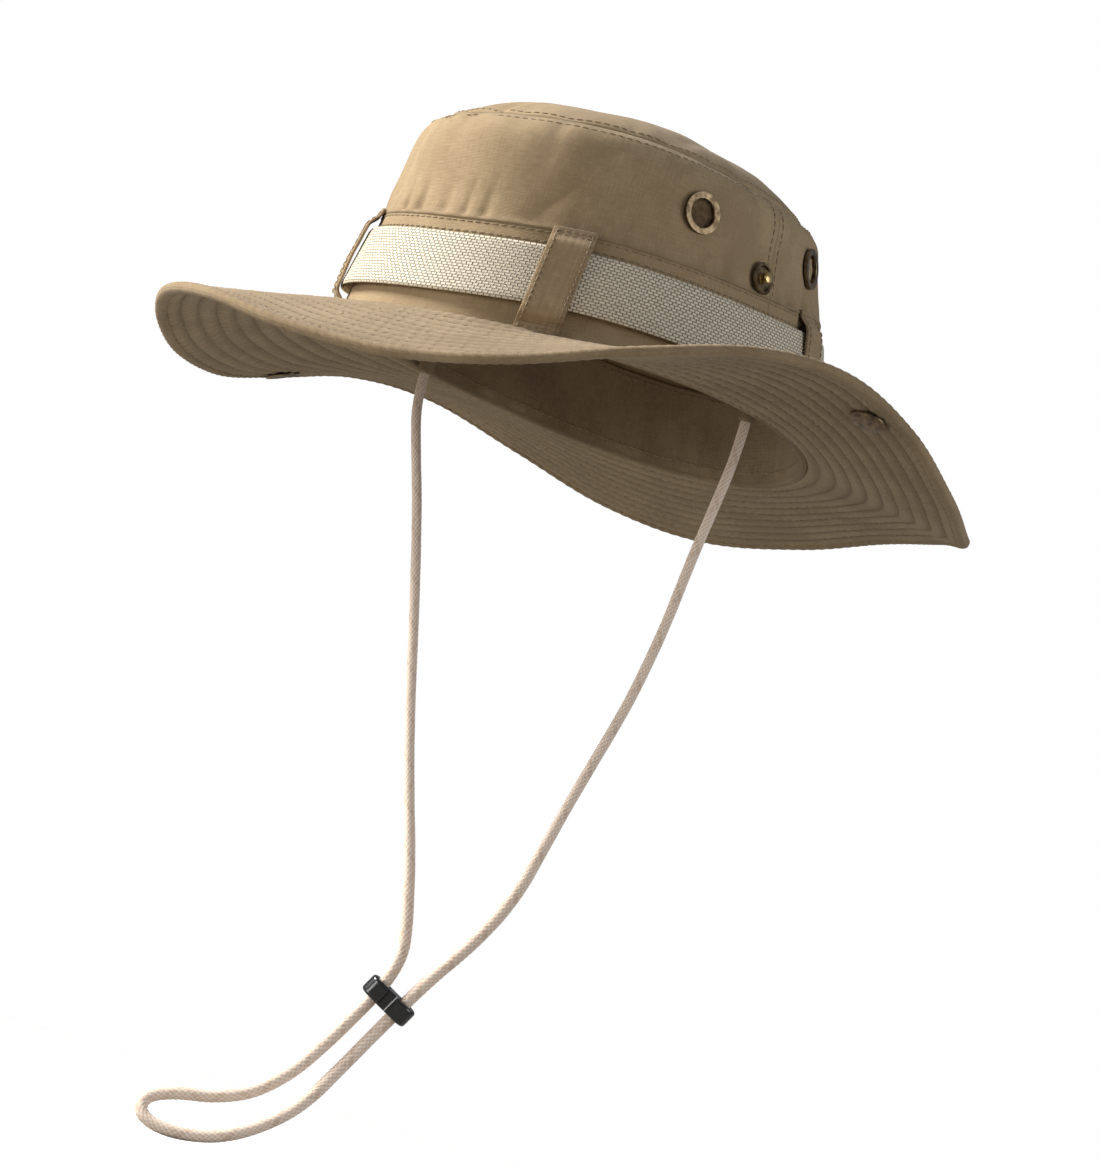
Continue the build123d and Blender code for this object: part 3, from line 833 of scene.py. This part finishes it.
# ---------------------------------------------------------------- Edge binding
# A bias strip of the same cotton is folded over the brim's edge and stitched through, so the
# edge is a soft rounded bead with a row of stitches inside it.
BINDING_MIDDLE = 61.6 * mm
BINDING_REACH = 2.5 * mm
BINDING_HALF = 1.95 * mm
# The binding is given a darker colour than the brim's cotton: painted shade along the brim's edge.
binding_khaki = cotton("binding_khaki", (0.265, 0.190, 0.110), (0.340, 0.250, 0.150))
for side_name, side, start in SIDES:
    def bead(across, turn, start=start):
        angle = start + 180 * across
        lap = math.radians(360 * turn)
        along = math.radians(angle) * 0.15
        twist = 0.12 * mm * math.sin(2 * math.pi * along / (4 * mm) + 2 * lap)
        swell = noise.noise(brim_point(angle, BRIM_WIDE) / 0.05) * SWELL
        flat = math.copysign(abs(math.cos(lap)) ** 0.8, math.cos(lap))
        thick = math.copysign(abs(math.sin(lap)) ** 0.8, math.sin(lap))
        return brim_point(angle, BINDING_MIDDLE + (BINDING_REACH + twist) * flat,
                          (BINDING_HALF + twist) * thick + swell)
    piece = lay_cloth("edge_binding_" + side_name, 420, 20, bead, (0.46, 0.014), binding_khaki)
    close_ends(piece)
    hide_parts(side_name + "_flap_binding")
    if side > 0:
        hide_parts("brim_binding")
    fold_side(piece)
    rows = []
    for face in (1, -1):
        def binding_line(angle, face=face):
            swell = noise.noise(brim_point(angle, BRIM_WIDE) / 0.05) * SWELL
            return brim_point(angle, BINDING_MIDDLE - 1.5 * mm, face * (BINDING_HALF - 0.25 * mm) + swell)
        rows.append((binding_line, lambda angle, face=face: brim_up(angle) * face, start, start + 180))
    row_piece = sew("binding_stitches_" + side_name, rows, thread, pitch=3.3 * mm)
    fold_side(row_piece)

# ---------------------------------------------------------------- Sweatband
# Inside the head opening a strip of cotton twill, 30 mm tall, is gathered in as it is sewn. It
# rolls over the seam between crown and brim and is stitched again just above it. It is lapped
# at a join beside the middle of the back.
SWEATBAND_TALL = 30.0 * mm
SWEATBAND_IN = 1.75 * mm
ROLL = 1.5 * mm
JOIN_ANGLE = 187.0
JOIN_LAP = 2.2
sweat_twill = cotton("sweatband_twill", (0.215, 0.155, 0.092), (0.290, 0.214, 0.130), weave=0.7 * mm)


def sweatband_point(angle, rise, inside):
    low = opening(angle)
    up = (band_seam(angle) - low).normalized()
    along = math.radians(angle) * 0.09
    gather = dents(along, 21 * mm, 5) * 3.0 * mm * math.exp(-rise / (22 * mm)) * min(1, rise / (2.5 * mm))
    gather *= min(1, angle % 360 / 12, -angle % 360 / 12)
    from_join = (angle - JOIN_ANGLE + 180) % 360 - 180
    lap = 0.55 * mm * (1 + math.tanh(from_join / 0.24)) * math.exp(-max(0, from_join) / (2 * JOIN_LAP))
    return low + up * rise - outward(angle) * (SWEATBAND_IN + inside + gather + lap)


def sweatband_section(across, turn):
    angle = 360 * across
    if turn <= 0.5:
        return sweatband_point(angle, SWEATBAND_TALL * (1 - turn / 0.5), 1.2 * mm)
    if turn <= 0.75:
        lap = math.radians(180 * (turn - 0.5) / 0.25)
        middle = sweatband_point(angle, 0, 1.2 * mm - ROLL)
        return middle - outward(angle) * ROLL * math.cos(lap) + Vector((0, 0, -ROLL * math.sin(lap)))
    return sweatband_point(angle, SWEATBAND_TALL * (turn - 0.75) / 0.25, 0.0)


sweatband = lay_cloth("sweatband_strip", 360, 64, sweatband_section, (0.56, 0.08), sweat_twill)
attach(sweatband, "hat")
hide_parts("sweatband")
sweat_rows = []
for rise in (3.2 * mm, 28.0 * mm):
    def sweat_line(angle, rise=rise):
        return sweatband_point(angle, rise, 1.3 * mm)
    sweat_rows.append((sweat_line, lambda angle: -outward(angle), 0, 360))
sweat_stitches = sew("sweatband_stitches", sweat_rows, thread)
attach(sweat_stitches, "hat")

# ---------------------------------------------------------------- Vents and snaps
# Antique brass eyelets grip the side panels, each over a disc of fine brass mesh. The snaps are
# the same metal: a stud above each temple, and a socket with a cap through the brim's side.


def metal(name, deep, worn, roughness):
    material, nodes, links, shader = new_material(name)
    coords = nodes.new("ShaderNodeTexCoord")
    patina = grain(nodes, links, coords.outputs["Object"], 420, 5)["Fac"]
    shades = two_tones(nodes, links, patina, deep, worn, 0.36, 0.66)
    links.new(shades, shader.inputs["Base Color"])
    raised(nodes, links, shader, patina, 0.25, 0.05 * mm)
    shader.inputs["Metallic"].default_value = 1.0
    shader.inputs["Roughness"].default_value = roughness
    return material


ring_brass = metal("antique_brass", (0.10, 0.07, 0.04), (0.30, 0.22, 0.13), 0.36)
bright_brass = metal("worn_brass", (0.42, 0.30, 0.13), (0.66, 0.50, 0.25), 0.3)
mesh_brass = metal("mesh_brass", (0.26, 0.20, 0.13), (0.46, 0.36, 0.24), 0.5)


def paint_node(node, material):
    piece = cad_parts[node]
    piece.data.materials.clear()
    piece.data.materials.append(material)


for node in sorted(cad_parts):
    if node.startswith(("vent_ring", "vent_washer", "snap_stud_back", "snap_socket")):
        paint_node(node, ring_brass)


def turned(name, outline, middle, axis, material, steps=40):
    """A turned metal piece: its outline, as distances from the axis and along it, spun round."""
    bm = bmesh.new()
    verts = [bm.verts.new((out * mm, 0, up * mm)) for out, up in outline]
    edges = [bm.edges.new(pair) for pair in zip(verts, verts[1:])]
    bmesh.ops.spin(bm, geom=verts + edges, cent=(0, 0, 0), axis=(0, 0, 1), angle=2 * math.pi,
                   steps=steps, use_merge=True)
    bmesh.ops.remove_doubles(bm, verts=bm.verts, dist=0.005 * mm)
    bmesh.ops.recalc_face_normals(bm, faces=bm.faces)
    turn = axis.to_track_quat("Z", "Y").to_matrix().to_4x4()
    bmesh.ops.transform(bm, matrix=Matrix.Translation(middle) @ turn, verts=bm.verts)
    piece = keep(bm, name, material)
    piece.data.set_sharp_from_angle(angle=math.radians(35))
    return piece


STUD_SEAT = 2.2 * mm
CAP_SEAT = 4.7 * mm
# Outlines in mm: the distance from the axis, and the height above the seat
STUD_RIM = ((0, 0.0), (5.0, 0.0), (5.6, 0.35), (5.7, 1.0), (5.2, 1.5), (4.5, 1.45), (4.0, 0.7),
            (2.4, 0.6), (0, 0.6))
STUD_POST = ((0, 0.5), (2.0, 0.55), (1.75, 1.3), (1.8, 2.2), (2.15, 2.9), (2.05, 3.4), (1.4, 3.75), (0, 3.85))
CAP_OUTLINE = ((0, 0.0), (6.0, 0.0), (6.6, 0.25), (6.5, 0.65), (5.6, 0.95), (3.5, 1.15), (0, 1.2))
for side_name in ("left", "right"):
    stud = "snap_stud_" + side_name
    seat = node_middle("snap_stud_back_" + side_name)
    axis = (node_middle(stud) - seat).normalized()
    base = seat + axis * STUD_SEAT
    for piece in (turned("stud_rim_" + side_name, STUD_RIM, base, axis, ring_brass),
                  turned("stud_post_" + side_name, STUD_POST, base, axis, bright_brass)):
        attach(piece, "hat")
        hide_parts(stud)
    cap = "snap_cap_" + side_name
    socket_middle = node_middle("snap_socket_" + side_name)
    down = (node_middle(cap) - socket_middle).normalized()
    piece = turned("cap_dome_" + side_name, CAP_OUTLINE, socket_middle + down * CAP_SEAT, down, ring_brass)
    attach(piece, side_name + "_brim_side")
    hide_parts(cap)

MESH_RADIUS = 4.9 * mm
MESH_PITCH = 0.62 * mm
MESH_WIRE = 0.3 * mm
for node in sorted(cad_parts):
    if not node.startswith("vent_screen"):
        continue
    middle = node_middle(node)
    ring_middle = node_middle(node.replace("screen", "washer"))
    facing_out = (middle - ring_middle).normalized()
    bm = bmesh.new()
    cells = round(2 * MESH_RADIUS / MESH_PITCH)
    bmesh.ops.create_grid(bm, x_segments=cells, y_segments=cells, size=MESH_RADIUS)
    bmesh.ops.wireframe(bm, faces=bm.faces, thickness=MESH_WIRE, use_replace=True, use_boundary=True,
                        use_even_offset=True)
    outside = [vert for vert in bm.verts if vert.co.length > MESH_RADIUS + 0.2 * mm]
    bmesh.ops.delete(bm, geom=outside, context="VERTS")
    turn = facing_out.to_track_quat("Z", "Y").to_matrix().to_4x4()
    bmesh.ops.transform(bm, matrix=Matrix.Translation(middle) @ turn, verts=bm.verts)
    piece = keep(bm, node.replace("vent_screen", "woven_screen"), mesh_brass, smooth=False)
    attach(piece, "hat")
    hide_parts(node)

# ---------------------------------------------------------------- Slider
# A moulded black plastic bar with two holes holds the cord's two limbs side by side.
plastic, nodes, links, shader = new_material("black_plastic")
coords = nodes.new("ShaderNodeTexCoord")
speckle = grain(nodes, links, coords.outputs["Object"], 700)["Fac"]
shades = two_tones(nodes, links, speckle, (0.008, 0.008, 0.009), (0.022, 0.023, 0.026))
links.new(shades, shader.inputs["Base Color"])
shader.inputs["Roughness"].default_value = 0.22
shader.inputs["Coat Weight"].default_value = 0.3
paint_node("cord_slider", plastic)

# ---------------------------------------------------------------- Chin cord
# One soft braided cord of beige cotton with darker flecks. It is sewn in at both temples, runs
# down through the slider and doubles back in a loop that just rests on the floor.
CORD_LENGTH = 0.686
CORD_DIAMETER = 4.6 * mm
CORD_ROUTE = [
    (0.0722, 0.0030, 0.0020), (0.0722, 0.0030, -0.0100), (0.0694, 0.0030, -0.0290),
    (0.0658, 0.0030, -0.0510), (0.0630, 0.0030, -0.0760), (0.0572, 0.0030, -0.1030),
    (0.0480, 0.0030, -0.1300), (0.0400, 0.0035, -0.1550), (0.0330, 0.0040, -0.1770),
    (0.0195, 0.0055, -0.1960), (0.0018, 0.0078, -0.2138), (-0.0166, 0.0005, -0.2486),
    (-0.0205, -0.0095, -0.2650), (-0.0270, -0.0175, -0.2750), (-0.0365, -0.0270, -0.2832),
    (-0.0460, -0.0360, -0.2863), (-0.0550, -0.0430, -0.2860), (-0.0615, -0.0455, -0.2825),
    (-0.0625, -0.0420, -0.2765), (-0.0550, -0.0350, -0.2728), (-0.0460, -0.0265, -0.2710),
    (-0.0370, -0.0185, -0.2660), (-0.0295, -0.0115, -0.2570), (-0.0222, -0.0043, -0.2423),
    (-0.0051, 0.0025, -0.2100), (-0.0095, 0.0030, -0.1910), (-0.0170, 0.0030, -0.1680),
    (-0.0256, 0.0030, -0.1460), (-0.0352, 0.0030, -0.1180), (-0.0460, 0.0030, -0.0830),
    (-0.0575, 0.0030, -0.0480), (-0.0670, 0.0030, -0.0240), (-0.0722, 0.0030, -0.0090),
    (-0.0722, 0.0030, 0.0020),
]
BRAID_STRANDS = 8
BRAID_PITCH = 17.0 * mm
BRAID_RINGS = 1300
BRAID_ROUND = 28
BRAID_DEPTH = 0.13


def cord_line(route):
    """Points close together on the smooth curve that the route controls."""
    curve = bpy.data.curves.new("cord_route", "CURVE")
    curve.dimensions = "3D"
    spline = curve.splines.new("NURBS")
    spline.points.add(len(route) - 1)
    for point, place in zip(spline.points, route):
        point.co = (*place, 1)
    spline.order_u = 3
    spline.use_endpoint_u = True
    spline.resolution_u = 24
    holder = bpy.data.objects.new("cord_route", curve)
    scene.collection.objects.link(holder)
    line = bpy.data.meshes.new_from_object(holder)
    points = [vert.co.copy() for vert in line.vertices]
    bpy.data.objects.remove(holder)
    bpy.data.meshes.remove(line)
    return points


def evenly(points, count):
    """The same line, as points evenly far apart."""
    gone = [0.0]
    for before, after in zip(points, points[1:]):
        gone.append(gone[-1] + (after - before).length)
    even = []
    piece = 0
    for index in range(count + 1):
        wanted = gone[-1] * index / count
        while piece < len(points) - 2 and gone[piece + 1] < wanted:
            piece += 1
        step = gone[piece + 1] - gone[piece]
        share = (wanted - gone[piece]) / step if step else 0.0
        even.append(points[piece].lerp(points[piece + 1], min(1, max(0, share))))
    return even, gone[-1]


cord_points, cord_run = evenly(cord_line(CORD_ROUTE), BRAID_RINGS)
cord_frames = []
side_way = Vector((0, 1, 0))
for index, point in enumerate(cord_points):
    ahead = cord_points[min(index + 1, BRAID_RINGS)] - cord_points[max(index - 1, 0)]
    ahead.normalize()
    side_way = (side_way - ahead * side_way.dot(ahead)).normalized()
    cord_frames.append((point, side_way.copy(), ahead.cross(side_way)))


def braid(turn, run):
    """Height of the braid's strands, 0 to 1, and how dark the strand on top is."""
    one = BRAID_STRANDS * (turn + run / BRAID_PITCH)
    other = BRAID_STRANDS * (turn - run / BRAID_PITCH)
    over = math.cos(math.pi * one) * math.cos(math.pi * other)
    first = math.cos(math.pi * one) ** 2 * (0.6 + 0.4 * over)
    second = math.cos(math.pi * other) ** 2 * (0.6 - 0.4 * over)
    fleck = 1.0 if (round(one) % BRAID_STRANDS == 1 and first > second) else 0.0
    if round(other) % BRAID_STRANDS == 4 and second > first:
        fleck = 0.8
    return max(first, second), fleck


def drawn_thin(share):
    """The cord's width where it hangs taut, as a share of its width in the slack loop."""
    run = share * CORD_LENGTH
    slack = 1 / (1 + math.exp((0.175 - run) / 0.012)) - 1 / (1 + math.exp((0.505 - run) / 0.016))
    return 0.80 + 0.22 * slack


cord_bm = bmesh.new()
cord_weave = cord_bm.loops.layers.uv.new("UVMap")
bmesh.ops.create_grid(cord_bm, x_segments=BRAID_RINGS, y_segments=BRAID_ROUND, size=0.5, calc_uvs=True)
strand_height = cord_bm.verts.layers.float.new("strand_height")
strand_fleck = cord_bm.verts.layers.float.new("strand_fleck")
for face in cord_bm.faces:
    for loop in face.loops:
        u, v = loop[cord_weave].uv
        loop[cord_weave].uv = (u * cord_run, v * math.pi * CORD_DIAMETER)
for vert in cord_bm.verts:
    index = round((vert.co.x + 0.5) * BRAID_RINGS)
    turn = vert.co.y + 0.5
    point, side_dir, up_dir = cord_frames[index]
    height, fleck = braid(turn, cord_run * index / BRAID_RINGS)
    uneven = 1 + 0.05 * noise.noise(Vector((index / 18, math.cos(2 * math.pi * turn), 0)))
    plump = 1 - BRAID_DEPTH + (BRAID_DEPTH + 0.03) * height
    radius = CORD_DIAMETER / 2 * plump * uneven * drawn_thin(index / BRAID_RINGS)
    lap = 2 * math.pi * turn
    vert[strand_height] = height
    vert[strand_fleck] = fleck
    vert.co = point + side_dir * (radius * math.cos(lap)) + up_dir * (radius * math.sin(lap))
bmesh.ops.remove_doubles(cord_bm, verts=cord_bm.verts, dist=0.002 * mm)
bmesh.ops.holes_fill(cord_bm, edges=[edge for edge in cord_bm.edges if edge.is_boundary])
bmesh.ops.recalc_face_normals(cord_bm, faces=cord_bm.faces)

cord_cotton, nodes, links, shader = new_material("cord_cotton")
height_value = nodes.new("ShaderNodeAttribute")
height_value.attribute_name = "strand_height"
fleck_value = nodes.new("ShaderNodeAttribute")
fleck_value.attribute_name = "strand_fleck"
coords = nodes.new("ShaderNodeTexCoord")
fibre = grain(nodes, links, coords.outputs["Object"], 1300, 3)["Fac"]
# Painted shade: the colour darkens from the tops of the strands down into the grooves between them.
shades = two_tones(nodes, links, height_value.outputs["Fac"], (0.66, 0.49, 0.375), (0.93, 0.82, 0.71),
                   0.15, 0.75)
flecked = nodes.new("ShaderNodeMix")
flecked.data_type = "RGBA"
flecked.inputs[7].default_value = (0.52, 0.35, 0.235, 1)
links.new(reckon(nodes, links, "MULTIPLY", fleck_value.outputs["Fac"], fibre), flecked.inputs[0])
links.new(shades, flecked.inputs[6])
links.new(flecked.outputs[2], shader.inputs["Base Color"])
raised(nodes, links, shader, fibre, 0.5, 0.15 * mm)
shader.inputs["Roughness"].default_value = 0.85
shader.inputs["Sheen Weight"].default_value = 0.2

chin_cord = keep(cord_bm, "braided_cord", cord_cotton)
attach(chin_cord, "hat")
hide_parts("chin_cord")

# Each end of the cord is caught in a folded tab of cotton, sewn to the sweatband.
for side_name in ("left", "right"):
    node = "cord_bartack_" + side_name
    low, high = (Vector(corner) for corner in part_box(node))
    bm = bmesh.new()
    bmesh.ops.create_cube(bm, size=1)
    bmesh.ops.scale(bm, vec=high - low, verts=bm.verts)
    bmesh.ops.bevel(bm, geom=bm.edges, offset=0.9 * mm, segments=3, profile=0.5, affect="EDGES", material=-1)
    bmesh.ops.translate(bm, vec=(low + high) / 2, verts=bm.verts)
    piece = keep(bm, "cord_tab_" + side_name, sweat_twill)
    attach(piece, "hat")
    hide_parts(node)
